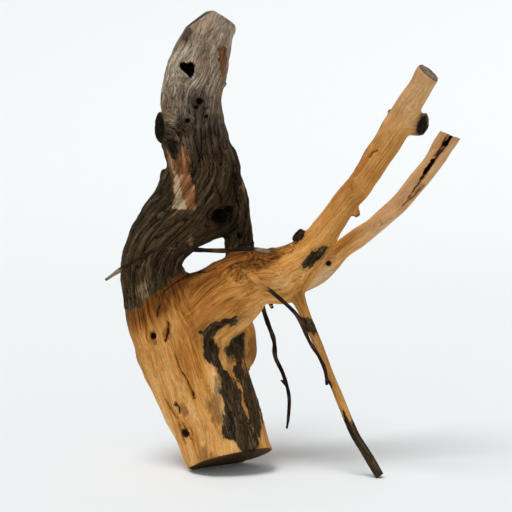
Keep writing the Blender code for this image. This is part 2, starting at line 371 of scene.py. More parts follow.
def new_object(name, parts):
    """One object of several (vertices, faces) parts, with its faces pointing out."""
    vertices, faces, count = [], [], 0
    for some, walls in parts:
        vertices += list(map(tuple, some))
        faces += [[v + count for v in face] for face in walls]
        count += len(some)
    mesh = bpy.data.meshes.new(name)
    mesh.from_pydata(vertices, [], faces)
    bm = bmesh.new()
    bm.from_mesh(mesh)
    bmesh.ops.recalc_face_normals(bm, faces=bm.faces)
    bm.to_mesh(mesh)
    bm.free()
    obj = bpy.data.objects.new(name, mesh)
    bpy.context.scene.collection.objects.link(obj)
    return obj


def settle(obj):
    """Turns an object's modifiers into plain mesh."""
    graph = bpy.context.evaluated_depsgraph_get()
    mesh = bpy.data.meshes.new_from_object(obj.evaluated_get(graph))
    obj.modifiers.clear()
    obj.data = mesh


def add_remesh(obj, voxel, smoothing):
    """Fuses what overlaps into one even skin and softens it."""
    fuse = obj.modifiers.new("fuse", "REMESH")
    fuse.mode = "VOXEL"
    fuse.voxel_size = voxel * MM
    soften = obj.modifiers.new("soften", "SMOOTH")
    soften.factor = 0.5
    soften.iterations = smoothing


def combine(obj, others, operation):
    """Joins other closed objects to obj, or takes them away from it, and removes them."""
    for other in others:
        modifier = obj.modifiers.new(other.name, "BOOLEAN")
        modifier.operation = operation
        modifier.solver = "MANIFOLD"
        modifier.object = other
    settle(obj)
    for other in others:
        bpy.data.objects.remove(other)


def cutter(name, point, waste, half_width):
    """A block that stands on the cut's plane and reaches into the waste."""
    turn = np.array(Vector(waste).to_track_quat("Z", "Y").to_matrix())
    corners = np.array([(x, y, z) for z in (0, CUTTER_DEPTH) for y in (-half_width, half_width)
                        for x in (-half_width, half_width)], float)
    faces = [(0, 2, 3, 1), (4, 5, 7, 6), (0, 1, 5, 4), (2, 6, 7, 3), (0, 4, 6, 2), (1, 3, 7, 5)]
    return new_object(name, [((corners @ turn.T + np.array(point) - MIDDLE) * MM, faces)])


def prism(name, outline, low_y, high_y):
    """A prism of an outline in X and Z that runs along Y."""
    count = len(outline)
    vertices = np.array([(x, y, z) for y in (low_y, high_y) for x, z in outline], float) - MIDDLE
    faces = [tuple(range(count)), tuple(range(2 * count - 1, count - 1, -1))]
    faces += [(k, (k + 1) % count, (k + 1) % count + count, k + count) for k in range(count)]
    return new_object(name, [(vertices * MM, faces)])


def grown_wood():
    """The whole piece as one closed skin: limbs fused, forks softened, ends sawn, twigs joined on."""
    limbs = [Limb(stations) for stations in THICK_LIMBS]
    wood = new_object("weathered_driftwood", [loft(limb, LIMB_SIDES, FLUTES) for limb in limbs])
    add_remesh(wood, FUSE_VOXEL, 8)
    settle(wood)
    heart = [(HEART_CENTRE[0] + x, HEART_CENTRE[1] + z) for x, z in HEART_OUTLINE]
    cutters = [prism("heart", heart, *HEART_Y)]
    cutters += [prism(f"split_{k}", outline, *SPLIT_Y) for k, outline in enumerate(SPLIT_OUTLINES)]
    cutters += [cutter(name, *cut) for name, cut in SAW_CUTS.items()]
    combine(wood, cutters, "DIFFERENCE")
    add_remesh(wood, SKIN_VOXEL, 1)
    settle(wood)
    tubes = [loft(Limb(stations, TWIG_STEP), TWIG_SIDES, knobs=TWIG_KNOBS, seed=40 + k)
             for k, stations in enumerate(TWIGS + SPURS)]
    tubes = [new_object(f"twig_{k}", [tube]) for k, tube in enumerate(tubes)]
    combine(wood, tubes, "UNION")
    return wood


# ---------------------------------------------------------------- fields over the wood

class Lattice:
    """Smooth random values from about -1 to 1, at points in millimetres."""

    SIDE = 48

    def __init__(self, seed):
        self.values = np.random.default_rng(seed).uniform(-1, 1, (self.SIDE,) * 3)

    def __call__(self, points, cell):
        spot = np.asarray(points) / cell + 1000
        base = np.floor(spot).astype(int)
        part = spot - base
        part = part * part * (3 - 2 * part)
        total = 0
        for corner in np.ndindex(2, 2, 2):
            i, j, k = ((base + corner) % self.SIDE).T
            share = np.where(corner, part, 1 - part).prod(1)
            total = total + share * self.values[i, j, k]
        return total


def ramp(value, low, high):
    """0 below low, 1 above high and smooth between them; low may be the larger."""
    t = np.clip((value - low) / (high - low), 0, 1)
    return t * t * (3 - 2 * t)


class Flow:
    """Which way the fibres run, everywhere near the wood, on a grid that is read between its points."""

    def __init__(self, limbs, low, high):
        self.low = low - FLOW_MARGIN
        shape = np.ceil((high - self.low + FLOW_MARGIN) / FLOW_CELL).astype(int)
        spots = np.stack(np.meshgrid(*map(np.arange, shape), indexing="ij"), -1).reshape(-1, 3)
        spots = spots * FLOW_CELL + self.low
        found = [limb.nearest(spots) for limb in limbs]
        away = np.array([distance for distance, where in found])
        shares = np.exp(-5 * (away - away.min(0)))
        field = np.zeros_like(spots)
        for limb, share, (distance, where) in zip(limbs, shares, found):
            spin = np.cross(limb.along[where], spots - limb.pith[where]) * SPIRAL_PER_MM
            field += share[:, None] * limb.growth * (limb.along[where] + spin)
        field = unit(field)
        for x, y, z, radius in KNOTS:
            field = flow_round(field, spots - (x, y, z), radius)
        self.field = unit(field).reshape(*shape, 3)

    def __call__(self, points):
        spot = (points - self.low) / FLOW_CELL
        base = np.clip(np.floor(spot).astype(int), 0, np.array(self.field.shape[:3]) - 2)
        part = np.clip(spot - base, 0, 1)
        total = 0
        for corner in np.ndindex(2, 2, 2):
            i, j, k = (base + corner).T
            total = total + np.where(corner, part, 1 - part).prod(1)[:, None] * self.field[i, j, k]
        return unit(total)

    def streaks(self, points, lattice, cell, reach):
        """Random values drawn out along the fibres for reach each way, with a spread of about 1."""
        step = cell * 0.6
        total = lattice(points, cell)
        for way in (1, -1):
            spot = points.copy()
            for k in range(round(reach / step)):
                spot += way * step * self(spot)
                total += lattice(spot, cell)
        return (total - total.mean()) / total.std()


def flow_round(field, offset, radius):
    """Fibres part round a knot whose axis is Y, and curl in rings inside it."""
    flat = offset.copy()
    flat[:, 1] = 0
    apart = np.maximum(np.linalg.norm(flat, axis=1), 1e-6)[:, None]
    outwards = flat / apart
    near = np.exp(-(offset[:, 1] / KNOT_LENGTH) ** 2)[:, None]
    squeeze = np.minimum(radius / apart, 1) ** 2 * near
    parted = field - squeeze * (2 * (field * outwards).sum(1)[:, None] * outwards - field)
    rings = np.cross((0, 1, 0), outwards)
    inside = ramp(apart, radius * 1.05, radius * 0.7) * near
    return parted * (1 - inside) + rings * inside


def inside_outline(x, z, outline):
    """How far inside a closed outline each point is, in millimetres; negative outside it."""
    points = np.stack((x, z), 1)
    corners = np.array(outline, float)
    nearest = np.full(len(points), np.inf)
    inside = np.zeros(len(points), bool)
    for start, end in zip(corners, np.roll(corners, -1, 0)):
        nearest = np.minimum(nearest, edge_distance(points, start, end))
        crossing = (start[1] > points[:, 1]) != (end[1] > points[:, 1])
        rise = end[1] - start[1] or 1e-9
        inside ^= crossing & (points[:, 0] < (end[0] - start[0]) * (points[:, 1] - start[1]) / rise
                              + start[0])
    return np.where(inside, nearest, -nearest)


def edge_distance(points, start, end):
    """How far each point is from a straight edge."""
    edge = end - start
    t = np.clip((points - start) @ edge / max(edge @ edge, 1e-9), 0, 1)
    return np.linalg.norm(points - start - t[:, None] * edge, axis=1)


def beside_line(x, z, line):
    """Of each point: which side of an open line and how far, its place along it, and its distance."""
    points = np.stack((x, z), 1)
    corners = np.array(line, float)
    lengths = np.linalg.norm(np.diff(corners, axis=0), axis=1)
    apart = np.full(len(points), np.inf)
    side, place = np.zeros(len(points)), np.zeros(len(points))
    for k, length in enumerate(lengths):
        ahead = (corners[k + 1] - corners[k]) / length
        offset = points - corners[k]
        forward = offset @ ahead
        across = offset @ (-ahead[1], ahead[0])
        beyond = np.maximum(np.maximum(-forward, forward - length), 0)
        distance = np.hypot(across, beyond)
        closer = distance < apart
        apart[closer] = distance[closer]
        side[closer] = across[closer]
        place[closer] = ((lengths[:k].sum() + forward) / lengths.sum())[closer]
    return side, place, apart


# Places on the wood, as (x, z) outlines and lines seen from -Y, and as points.
SPLIT_OUTLINES = (
    ((161.5, 313), (156.5, 306), (152.3, 303.8), (149.3, 298.3), (145.2, 295.2), (143, 289), (139, 286),
     (134, 279.5), (138.5, 282.5), (142.5, 286.5), (146.5, 292.5), (150.5, 295.5), (153.3, 300.5),
     (158, 303.5), (165.5, 309)),
    ((140, 287), (136, 283), (133.3, 277), (128.8, 272), (125.6, 264.8), (119.8, 256), (117, 251),
     (121.4, 255.6), (126, 260.5), (128.6, 265.5), (133.4, 271.5), (136.7, 278.5)),
)
SPLIT_Y = (28, 42.5)
SPURS = (
    ((3.5, 32, 73, 1.7, 1.7), (0.5, 31, 76, 1.3, 1.3), (-1.5, 30, 77.5, 0.8, 0.8)),
    ((38.5, -24, 90, 1.5, 1.5), (41.5, -25, 86, 1.1, 1.1), (43, -25, 82.5, 0.7, 0.7)),
    ((-12, 8, 158, 2.5, 2.5), (-11, 5, 152.5, 1.8, 1.8), (-9.5, 4, 149, 1.2, 1.2)),
)
# (x, y, z, radius) of each knob's dark tip, and of each knot, hole and burl that the fibres part round.
DARK_TIPS = ((64.5, -6.5, 233, 3.2), (89, -29, 327, 2.2), (83.5, -28, 314, 2))
KNOTS = (
    (-119, -8, 126, 5), (-91, -18, 37, 6), (-43, -18, 182, 8), (-27, -16, 194, 6),
    (-76, -8, 334, 5), (-87, -8, 318, 4), (-86, -8, 363, 7), (-58, 0, 232, 8), (39, 20, 188, 3.5),
    (-64, 40, 300, 7), (-105, 42, 215, 9), (-70, 45, 70, 8), (-15, 38, 182, 7), (10, -14, 176, 6),
    (-62, 0, 372, 4), (-100, -5, 345, 4), (60, -22, 262, 5), (105, -32, 330, 5),
)
BARK = ((-175, 143), (-138, 149), (-132, 154), (-128, 160), (-119, 163), (-114, 168), (-105, 173),
        (-101, 178), (-94, 182), (-85, 186), (-73, 190), (-57, 201), (-41, 203), (-28, 204),
        (-21, 215), (-10, 300), (-20, 430), (-175, 430))
FLAKE_LEFT = ((-80, 132), (-72, 137), (-62, 140), (-50, 143), (-40, 148), (-42, 142), (-45, 137),
              (-54, 135), (-61, 130), (-64, 126), (-64, 121), (-60, 117), (-59, 111), (-59, 105),
              (-56, 98), (-51, 94), (-44, 86), (-40, 77), (-38, 62), (-34, 50), (-26, 39),
              (-23, 27), (-26, 22), (-38, 21), (-44, 33), (-55, 36), (-58, 41), (-56, 56),
              (-54, 67), (-60, 77), (-57, 86), (-63, 96), (-69, 102), (-75, 108), (-76, 115),
              (-75, 126), (-78, 128))
FLAKE_RIGHT = ((-51, 118), (-48, 123), (-44, 126), (-40, 126), (-36, 123), (-37, 115), (-38, 106),
               (-38, 97), (-34, 88), (-28, 77), (-25, 65), (-22, 54), (-20, 42), (-24, 34), (-31, 46),
               (-35, 58), (-37, 68), (-40, 77), (-46, 86), (-50, 94), (-47, 100), (-50, 106), (-54, 112))
FLAKE_FORK = ((15, 187), (16.5, 196), (21, 201), (28, 205), (35, 208), (38, 206), (32, 198), (23, 189.5))
FLAKE_BACK = ((-112, 132), (-92, 142), (-66, 130), (-50, 104), (-62, 72), (-48, 44), (-44, 16),
              (-78, 12), (-80, 46), (-98, 70), (-90, 96), (-108, 112))
SCALY = ((18, 173), (26, 179), (32, 182), (43, 185), (46, 182), (37, 170), (28, 161), (19, 155),
         (18, 162))
WORN_STREAK = ((-106, 293), (-102, 291), (-95, 287), (-90, 295), (-87, 292), (-84, 284),
               (-86, 277), (-88, 273), (-86, 269), (-83, 262), (-81, 250), (-80, 240), (-91, 240),
               (-101, 240), (-98, 252), (-99, 261), (-103, 270), (-105, 281))
WORN_PALE = ((-104, 286), (-99, 262), (-99, 256), (-102, 238), (-88, 238), (-90, 247), (-93, 256),
             (-97, 271), (-101.5, 281))
WORN_TOP = ((-60, 380), (-56, 383), (-53, 381), (-53, 372), (-54, 362), (-56, 356), (-58, 362),
            (-59, 372))
WORN_BACK = ((-70, 372), (-60, 378), (-56, 350), (-62, 318), (-74, 300), (-80, 312), (-72, 340))
# Each crack is a line and half its greatest width; it tapers to nothing at both ends.
CRACKS = (
    (((-111, 158), (-113.5, 150), (-114, 143)), 0.8),
    (((-106, 141), (-104.5, 131), (-107.5, 121)), 1.0),
    (((-99, 110), (-94, 96), (-89, 88), (-86, 81), (-82, 70)), 0.3),
    (((-85, 80), (-83, 75), (-81, 70)), 0.9),
    (((-109, 68), (-104, 59), (-98, 50)), 0.2),
    (((-99, 67), (-96, 61), (-95, 55)), 0.7),
    (((-101, 64), (-95, 62)), 0.5),
    (((-112, 164), (-106, 168), (-97, 175), (-85, 180), (-72, 183), (-62, 187)), 0.6),
    (((-94, 49), (-89, 41), (-84, 33)), 0.4),
    (((-97, 46), (-95, 36), (-89, 28)), 0.4),
    (((71, 287), (74, 292), (79, 294)), 0.3),
    (((-46, 264), (-44, 248), (-41, 236)), 1.2),
    (((-62, 262), (-58, 252), (-57, 242)), 0.7),
    (((153, 305), (145, 293), (136, 282), (128, 270), (118, 255), (111, 244)), 0.9),
    (((148, 304), (141, 292), (134, 283)), 0.5),
    (((126, 258), (117, 247), (106, 238)), 0.4),
    (((82, 240), (94, 252), (104, 266)), 0.2),
)
# (x, z, radius, depth) of each hole in the front.
HOLES = (
    (-119, 126, 2.7, 5.0), (-76, 335, 3.0, 4.0), (-87, 318, 2.2, 3.0), (-58, 232, 7.0, 6.0),
    (-51, 238, 4.0, 4.0), (39, 188, 2.2, 2.5), (-91, 38, 3.5, 2.0), (-79, 330, 2.0, 2.5),
    (-70, 322, 1.8, 2.0), (-42, 214, 2.5, 3.0),
)
# (x, z, radius) of curled burls, and of pale and dark places in the bark.
BURLS = ((-41, 184, 8), (-27, 194, 8), (-12, 203, 6), (-34, 203, 6), (2, 206, 6))
# Some of these stains are painted shade: round holes and cracks and under the bulge at the stump's right;
# the rest are real stains.
STAINS_AND_SHADE = ((-64, 66, 8), (-62, 56, 7), (-60, 84, 6), (-73, 20, 7), (-66, 17, 6), (-90, 38, 6),
          (-119, 126, 5), (-112, 152, 6), (-106, 130, 5), (-28, 104, 9), (-27, 113, 8), (-92, 60, 5),
          (152, 311, 5), (165, 306, 4), (58, 224, 5), (-48, 104, 5), (-100, 174, 7), (-86, 181, 6))
PALE_SPOTS = ((-79, 402, 6), (-73, 371, 6), (-108, 325, 7), (-97, 304, 3.5),
              (-38, 257, 4), (-84, 213, 4), (-127, 168, 7), (-68, 396, 7), (-92, 352, 4))
DARK_SPOTS = ((-88, 394, 8), (-80, 330, 13), (-90, 315, 10), (-64, 308, 9), (-60, 288, 6),
              (-47, 262, 9), (-56, 230, 15), (-40, 216, 9), (-100, 296, 9), (-112, 312, 9),
              (-75, 300, 9), (-80, 180, 16), (-96, 166, 9))


class Skin:
    """What is known of each point of the wood's surface before it is carved."""

    def __init__(self, mesh):
        count = len(mesh.vertices)
        flat = np.empty(count * 3)
        mesh.vertices.foreach_get("co", flat)
        self.points = flat.reshape(-1, 3) / MM
        mesh.vertex_normals.foreach_get("vector", flat)
        self.normals = flat.reshape(-1, 3).copy()
        self.x, self.y, self.z = self.points.T
        self.stations = THICK_LIMBS + TWIGS + SPURS
        self.limbs = [Limb(stations) for stations in self.stations]
        found = [limb.nearest(self.points) for limb in self.limbs]
        self.away = np.array([distance for distance, where in found])
        self.where = [where for distance, where in found]
        self.front = -self.normals[:, 1]
        self.flow = Flow(self.limbs, self.points.min(0), self.points.max(0))
        self.wobble = Lattice(3)
        self.ragged = self.wobble(self.points, 6.0) + 0.6 * self.wobble(self.points + 400, 2.6)
        self.wavy = 1.6 * self.wobble(self.points + 90, 7.0)

    def share(self, *names):
        """How much of each point belongs to the named limbs, from 0 to 1."""
        every = np.exp(-7 * (self.away - self.away.min(0)))
        picked = [i for i, stations in enumerate(self.stations) if stations in names]
        return every[picked].sum(0) / every.sum(0)

    def within(self, outline, ragged=1.3):
        """How far inside an outline each point is, with its edge made uneven."""
        return inside_outline(self.x + ragged * self.ragged, self.z + self.wavy, outline)

    def spots(self, places):
        """1 in the middle of drawn-out places on the front, fading to 0 round them."""
        total = np.zeros(len(self.points))
        for spot_x, spot_z, radius in places:
            apart = np.hypot(1.2 * (self.x - spot_x) + 2.2 * self.ragged,
                             0.7 * (self.z - spot_z) + self.wavy)
            total = np.maximum(total, ramp(apart, radius * 1.5, radius * 0.3))
        return total * ramp(self.front, -0.1, 0.2)

    def travelled(self, stations):
        """How far along a limb each point is, from the limb's root."""
        index = self.stations.index(stations)
        return self.limbs[index].travelled[self.where[index]]

    def patch(self, outline, side=1, ragged=1.3):
        """An outline on one side of the wood only: side is 1 for the front and -1 for the back."""
        return np.minimum(self.within(outline, ragged), 8 * (side * self.front + 0.25))

    def grain(self, group):
        """Fibre coordinates from a group's nearest limb, its closeness, and how clear the choice is."""
        away = self.away[group]
        order = away.argsort(0)
        first = order[0]
        coordinates = np.zeros_like(self.points)
        bent = self.points + knot_shift(self.points)
        for rank, index in enumerate(group):
            mine = first == rank
            coordinates[mine] = self.limbs[index].grain(bent[mine], self.where[index][mine])
            coordinates[mine, 2] += 310 * index
        nearest, second = np.take_along_axis(away, order[:2], 0)
        return coordinates, nearest, second - nearest


def knot_shift(points):
    """Moves points in towards the knots, so that fibre coordinates part round them."""
    shift = np.zeros_like(points)
    for x, y, z, radius in KNOTS:
        offset = points - (x, y, z)
        near = np.exp(-(offset[:, 1] / KNOT_LENGTH) ** 2)
        offset[:, 1] = 0
        apart = np.maximum(np.linalg.norm(offset, axis=1), radius * 0.8)
        shift -= offset * (near * (radius / apart) ** 2 * 0.8)[:, None]
    return shift


def saw_faces(skin):
    """1 on each sawn face, the cut's direction there, and 1 where the cut face has gone dark."""
    sawn = np.zeros(len(skin.points))
    dark = np.zeros(len(skin.points))
    facing = np.zeros_like(skin.points)
    for name, (point, waste, half_width) in SAW_CUTS.items():
        direction = np.array(waste) / np.linalg.norm(waste)
        offset = skin.points - (np.array(point) - MIDDLE)
        level = offset @ direction
        within = np.linalg.norm(offset, axis=1) < half_width * 1.2
        mine = within * ramp(abs(level), 0.9, 0.3) * ramp(skin.normals @ direction, 0.75, 0.95)
        facing[mine > sawn] = direction
        dark = np.where(mine > sawn, name in DARK_CUTS, dark)
        sawn = np.maximum(sawn, mine)
    return sawn, facing, dark


def cracks(skin):
    """The signed distance from the nearest crack's middle, and half the crack's width there."""
    side, width = np.full(len(skin.points), 9.0), np.full(len(skin.points), -9.0)
    nearest = np.full(len(skin.points), np.inf)
    uneven = 1 + 0.9 * skin.wobble(skin.points, 3.0)
    for line, half_width in CRACKS:
        across, place, apart = beside_line(skin.x + 0.8 * skin.ragged, skin.z, line)
        taper = np.sin(np.pi * np.clip(place, 0, 1)) ** 0.6
        beyond = np.maximum(np.maximum(-place, place - 1), 0) * 60
        closer = (apart < nearest) & (skin.front > 0.05)
        nearest[closer] = apart[closer]
        side[closer] = across[closer]
        width[closer] = (half_width * taper * uneven - beyond)[closer]
    return np.clip(side, -9, 9), np.maximum(width, -9)


def holes(skin):
    """How dark each hole in the front is painted, as shade down in it, and how deep it is; the heart hole
    and the cleft in the split branch get the painted shade too.
    """
    hollow = np.zeros(len(skin.points))
    depth = np.zeros(len(skin.points))
    for hole_x, hole_z, radius, deep in HOLES:
        apart = np.hypot(skin.x - hole_x + 0.4 * skin.ragged, skin.z - hole_z)
        here = ramp(apart, radius * 1.5, radius * 0.5) * ramp(skin.front, 0.0, 0.2)
        hollow = np.maximum(hollow, here)
        depth = np.maximum(depth, deep * here)
    heart = np.array(HEART_OUTLINE) + HEART_CENTRE - MIDDLE[[0, 2]]
    in_heart = inside_outline(skin.x, skin.z, heart) + 0.9
    hollow = np.maximum(hollow, ramp(in_heart, 0, 1) * ramp(skin.y, 30, 25))
    deep_in = ramp(skin.away.min(0), 0.9, 0.78) * ramp(skin.share(SPLIT_BRANCH), 0.6, 0.9)
    return np.maximum(hollow, deep_in * ramp(skin.x, 95, 105)), depth


def flakes(skin, fringe):
    """How far inside the flakes of bark left on the stump and at the fork each point is."""
    left, right = (skin.patch(outline, 1, 0.9) + 0.75 * fringe - 0.3
                   for outline in (FLAKE_LEFT, FLAKE_RIGHT))
    fork = np.minimum(skin.patch(FLAKE_FORK, 1, 0.7) + 0.5 * fringe, 2) - 3 * skin.share(SPLIT_BRANCH)
    back = skin.patch(FLAKE_BACK, -1, 2.0) + fringe
    return np.maximum.reduce([left, right, fork, back])


def thin_branch_bark(skin, fringe):
    """Bark on the lower part of the thin branch, and in a ring near its root."""
    lower = 8 * ramp(skin.z + 5 * skin.wobble(skin.points, 9) + 3 * fringe, 62, 44)
    ring = 4 * ramp(abs(skin.z - 137 + 0.4 * (skin.x - 19)) - 1.5 * fringe, 7, 3)
    return np.maximum(lower, ring) - 2


def dark_stub_end(skin, fringe):
    """The weathered end of the short stub on the long branch."""
    point, waste, _ = SAW_CUTS["branch_stub"]
    level = (skin.points - np.array(point) + MIDDLE) @ (np.array(waste) / np.linalg.norm(waste))
    return np.minimum(np.where(skin.share(BRANCH_STUB) > 0.4, level + 1.0 + 0.3 * fringe, -9), 6)


def bark_cover(skin, fringe):
    """How far inside the bark each point is, in millimetres, and how far inside the trunk's own bark."""
    trunk = skin.within(BARK) + 1.1 * fringe
    cover = np.maximum(trunk, flakes(skin, fringe))
    cover = np.where(skin.share(THIN_BRANCH) > 0.5, thin_branch_bark(skin, fringe), cover)
    for twig, bare_root in zip(TWIGS, (21, 34, 0)):
        mine = skin.share(twig) > 0.5
        cover = np.where(mine, np.clip((skin.travelled(twig) - bare_root) / 3, -4, 6), cover)
    cover = np.where(skin.share(*SPURS) > 0.5, 6.0, cover)
    cover = np.maximum(cover, 8 * skin.share(HUB_STUB) - 4)
    for x, y, z, radius in DARK_TIPS:
        cover = np.maximum(cover, radius - np.linalg.norm(skin.points - (x, y, z), axis=1))
    return np.maximum(cover, dark_stub_end(skin, fringe)), trunk


def worn_places(skin, furrows):
    """How far inside the rubbed places each point is, and how far inside their chalky part."""
    worn = skin.patch(WORN_STREAK) + 0.5 * furrows
    for outline, side in ((WORN_TOP, 1), (WORN_BACK, -1)):
        worn = np.maximum(worn, skin.patch(outline, side, 0.8) + 0.5 * furrows)
    return np.minimum(worn, 6 - 12 * skin.share(STUB_TONGUE)), skin.patch(WORN_PALE) + 0.4 * furrows


def swirls(skin):
    """1 inside the curled burls on the front, fading to 0 round them."""
    swirl = np.zeros(len(skin.points))
    for burl_x, burl_z, radius in BURLS:
        apart = np.hypot(skin.x - burl_x, skin.z - burl_z)
        here = ramp(apart, radius * 1.6, radius * 0.6) * ramp(skin.front, -0.2, 0.2)
        swirl = np.maximum(swirl, here)
    return swirl


def pale_twig(skin):
    """1 where the front left twig is bare: a stretch near its root, and its tip."""
    along = skin.travelled(FRONT_LEFT_TWIG)
    tip = along.max() - along
    bare = np.maximum(ramp(along, 18, 24) * ramp(along, 38, 34), ramp(tip, 17, 14) * ramp(tip, 1, 4))
    return skin.share(FRONT_LEFT_TWIG) * bare


def finishes(skin, ridges, furrows):
    """What each point is made of, as fields that the relief and the material share."""
    cover, trunk_cover = bark_cover(skin, furrows + 0.8 * ridges)
    worn, pale_worn = worn_places(skin, furrows)
    crack_side, crack_width = cracks(skin)
    split = skin.share(SPLIT_BRANCH)
    long_branch = skin.share(HUB_AND_LONG_BRANCH, BRANCH_STUB)
    return {
        "cover": np.minimum(cover, -worn),
        "trunk_cover": trunk_cover,
        "worn": worn,
        "pale_worn": pale_worn,
        "scaly": np.minimum(skin.within(SCALY, 2.0), 10 * (split - 0.35)),
        "crack_side": crack_side,
        "crack_width": crack_width,
        "swirl": swirls(skin),
        "twig": skin.share(*TWIGS, *SPURS),
        "twig_pale": pale_twig(skin),
        "thin": skin.share(THIN_BRANCH),
        "rim": skin.away.min(0),
        "bleached": np.maximum(0.75 * long_branch * ramp(skin.z, 285, 350),
                               0.75 * split * ramp(skin.x, 50, 85)),
        "stain": skin.spots(STAINS_AND_SHADE),
        "pale_spot": skin.spots(PALE_SPOTS),
        "dark_spot": np.maximum(skin.spots(DARK_SPOTS), skin.share(STUB_TONGUE)),
    }


def relief(skin, fields, lumps, depth):
    """How far each point stands out of the plain limb, in millimetres."""
    ridges, furrows, sawn, twig = (fields[name] for name in ("ridges", "furrows", "sawn", "twig"))
    barky = ramp(fields["cover"], -0.6, 0.6) * (1 - twig)
    rough = barky * ramp(fields["trunk_cover"], -1, 2)
    aged = ramp(skin.z, 300, 350)
    groove = ramp(abs(ridges), 0.55, 0.05)
    small_groove = ramp(abs(furrows), 0.5, 0.0)
    crown = np.tanh(1.2 * abs(ridges))
    out = rough * ((0.75 - 0.3 * aged) * crown - (1.1 - 0.6 * aged) * groove - 0.25 * small_groove)
    out += (barky - rough) * (0.35 + 0.3 * crown - 0.3 * groove)
    out += (1 - barky) * (0.16 * np.tanh(ridges) + 0.4 * np.tanh(fields["broad"]) - 0.12 * small_groove)
    slender = fields["thin"] + twig + skin.share(SPLIT_BRANCH)
    out += lumps * (0.9 - 0.5 * slender) + 0.5 * rough * skin.wobble(skin.points, 5.0)
    curls = 1.0 * skin.wobble(skin.points, 4.0) + 0.9 * skin.wobble(skin.points + 50, 8.0)
    out += fields["swirl"] * curls
    out -= 1.3 * ramp(abs(fields["crack_side"]) - fields["crack_width"], 0.7, -0.3) + depth
    out *= np.where(twig > 0.5, 0.12, 1) * np.where(fields["thin"] > 0.5, 0.45, 1)
    return out * (1 - sawn) + sawn * 0.3 * skin.wobble(skin.points, 3.0)


def carved(skin, fields, facing, lumps, depth):
    """The points after carving: saw faces stay flat, and the dark ones up high are dished."""
    sawn = fields["sawn"]
    push = skin.normals * relief(skin, fields, lumps, depth)[:, None]
    level = (push * facing).sum(1)[:, None] * facing * ramp(sawn, 0.0, 0.5)[:, None]
    dish = 4 * sawn * fields["dark_cut"] * ramp(fields["rim"], 0.95, 0.3) * (skin.z > 100)
    moved = skin.points + push - level - facing * dish[:, None]
    moved[:, 2] = np.maximum(moved[:, 2], 0)
    return moved


def fibre_fields(skin):
    """Fibre coordinates from two groups of limbs, and how they cross-fade where the groups meet."""
    from_trunk = (STEM, SPLIT_BRANCH, THIN_BRANCH, HUB_STUB, BRANCH_STUB, TOP_KNOB, *TWIGS)
    trunk_group = [i for i, stations in enumerate(skin.stations) if stations in from_trunk]
    branch_group = [i for i in range(len(skin.limbs)) if i not in trunk_group]
    first, first_away, first_clear = skin.grain(trunk_group)
    second, second_away, second_clear = skin.grain(branch_group)
    lean = ramp(first_away - second_away, -0.35, 0.35)
    clear = (1 - lean) * ramp(first_clear, 0.0, 0.3) + lean * ramp(second_clear, 0.0, 0.3)
    return {"fibre_a": first * MM, "fibre_b": second * MM, "fibre_lean": lean, "fibre_clear": clear}


def carve(wood):
    """Works out the fields, carves the surface by them and stores them for the material."""
    skin = Skin(wood.data)
    fields = {name: skin.flow.streaks(skin.points, Lattice(seed), size, reach)
              for name, (seed, size, reach) in STREAKS.items()}
    lumps = Lattice(LUMP_SEED)(skin.points, LUMP_SIZE)
    fields["sawn"], facing, fields["dark_cut"] = saw_faces(skin)
    fields.update(finishes(skin, fields["ridges"], fields["furrows"]))
    fields["hollow"], depth = holes(skin)
    moved = carved(skin, fields, facing, lumps, depth)
    wood.data.vertices.foreach_set("co", (moved * MM).ravel())
    wood.data.update()
    fields["near_hollow"], fields["broad_hollow"] = hollows(wood.data, moved)
    fields.update(fibre_fields(skin))
    for name, values in fields.items():
        store(wood.data, name, values)


def hollows(mesh, points):
    """How far each point lies below the surface round it, close by and further off, in millimetres."""
    edges = np.empty(len(mesh.edges) * 2, np.int32)
    mesh.edges.foreach_get("vertices", edges)
    start, end = edges.reshape(-1, 2).T
    count = len(points)
    joined = np.bincount(start, minlength=count) + np.bincount(end, minlength=count)
    normals = np.empty(count * 3)
    mesh.vertex_normals.foreach_get("vector", normals)
    normals = normals.reshape(-1, 3)
    smooth = points.copy()
    found = []
    for turn in range(1, 46):
        total = [np.bincount(start, smooth[end, k], count) + np.bincount(end, smooth[start, k], count)
                 for k in range(3)]
        smooth = 0.4 * smooth + 0.6 * np.stack(total, 1) / joined[:, None]
        if turn in (4, 45):
            found.append(((smooth - points) * normals).sum(1))
    return found


def store(mesh, name, values):
    """Keeps a field as a vertex attribute: a number, or a vector where it has three columns."""
    kind, field = ("FLOAT_VECTOR", "vector") if values.ndim == 2 else ("FLOAT", "value")
    attribute = mesh.attributes.new(name, kind, "POINT")
    attribute.data.foreach_set(field, np.ascontiguousarray(values, np.float32).ravel())


# ---------------------------------------------------------------- shader arithmetic

class Wire:
    """A socket that takes part in Python arithmetic: each operation adds a Math node."""

    def __init__(self, shop, socket):
        self.shop = shop
        self.socket = socket

    def math(self, operation, *values):
        """A Math node on these values."""
        return self.shop.node("ShaderNodeMath", {"operation": operation}, dict(enumerate(values)))

    def __add__(self, other):
        return self.math("ADD", self, other)

    def __sub__(self, other):
        return self.math("SUBTRACT", self, other)

    def __rsub__(self, other):
        return self.math("SUBTRACT", other, self)

    def __mul__(self, other):
        return self.math("MULTIPLY", self, other)

    def __abs__(self):
        return self.math("ABSOLUTE", self)

    __radd__ = __add__
    __rmul__ = __mul__

    def scaled(self, x, y, z):
        """The same vector with each part multiplied."""
        return self.shop.node("ShaderNodeVectorMath", {"operation": "MULTIPLY"}, {0: self, 1: (x, y, z)})


